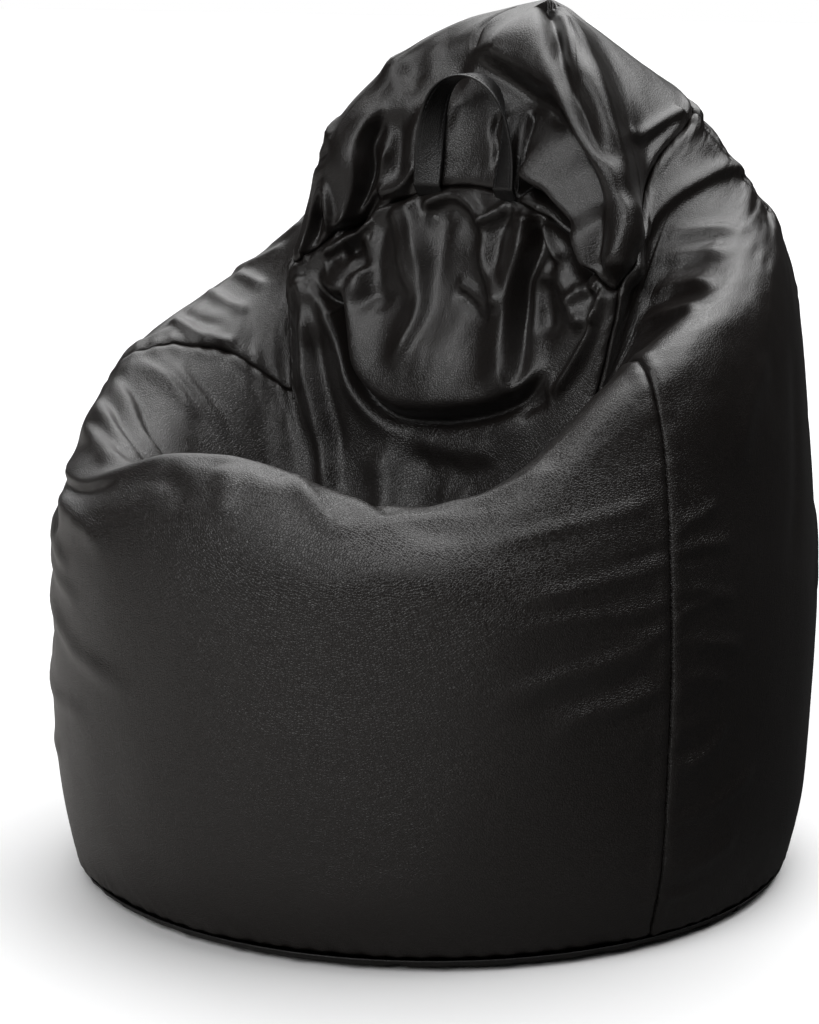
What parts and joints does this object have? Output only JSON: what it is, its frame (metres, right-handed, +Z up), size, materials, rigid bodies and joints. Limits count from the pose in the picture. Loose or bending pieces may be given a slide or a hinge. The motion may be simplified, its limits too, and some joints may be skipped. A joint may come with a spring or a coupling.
{
  "type": "bean bag chair",
  "caption": "Pear-shaped bean bag chair in grained faux leather: pressed-in seat, raised hooded back, carry strap on the crown seam, zipped base, inner liner and bead filling.",
  "frame": {"origin": "centre of the base on the floor", "axes": "+Z up to the peak of the hood, -Y the way the seat faces, +X the sitter's left"},
  "size_m": [0.8474, 0.8503, 0.945],
  "materials": {
    "cover_leather": "fine pebble grain, satin",
    "base_leather": "fine pebble grain, satin",
    "strap_leather": "folded and edge-stitched, satin",
    "zip_tape_cloth": "woven tape",
    "zip_nylon": "satin",
    "zip_metal": "black enamel",
    "liner_zip_metal": "nickel paint",
    "liner_cloth": "plain nonwoven cloth",
    "beads": "expanded foam beads"
  },
  "bodies": {
    "bag": {"front_panel": "cover_leather", "left_side_panel": "cover_leather", "right_side_panel": "cover_leather", "left_back_panel": "cover_leather", "right_back_panel": "cover_leather", "crown_cap": "cover_leather", "base_panel_front": "base_leather", "base_panel_back": "base_leather", "handle_tail_left": "strap_leather", "handle_tail_right": "strap_leather", "zip_tape_front": "zip_tape_cloth", "zip_tape_back": "zip_tape_cloth", "zip_coil_front": "zip_nylon", "zip_coil_back": "zip_nylon", "zip_top_stop": "zip_metal", "zip_bottom_stop": "zip_metal", "liner_front": "liner_cloth", "liner_back": "liner_cloth", "liner_base": "liner_cloth", "liner_zip_tape_front": "zip_tape_cloth", "liner_zip_tape_back": "zip_tape_cloth", "liner_zip_coil_front": "zip_nylon", "liner_zip_coil_back": "zip_nylon", "bead_filling": "beads"},
    "handle": {"carry_handle": "strap_leather"},
    "slider": {"zip_slider": "zip_metal"},
    "pull": {"zip_pull": "zip_metal"},
    "liner_slider": {"liner_zip_slider": "liner_zip_metal"}
  },
  "joints": [
    {"name": "handle_flop", "type": "hinge", "parent": "bag", "child": "handle", "pos_m": [0.004, 0.054, 0.741], "axis": [1, 0, 0], "range_deg": [0, 120]},
    {"name": "zip_slide", "type": "slide", "parent": "bag", "child": "slider", "axis": [1, 0, 0], "range_m": [-0.45, 0]},
    {"name": "pull_flip", "type": "hinge", "parent": "slider", "child": "pull", "pos_m": [0.225, 0, 0.0012], "axis": [0, 1, 0], "range_deg": [-180, 0]},
    {"name": "liner_zip_slide", "type": "slide", "parent": "bag", "child": "liner_slider", "axis": [1, 0, 0], "range_m": [-0.45, 0]}
  ]
}
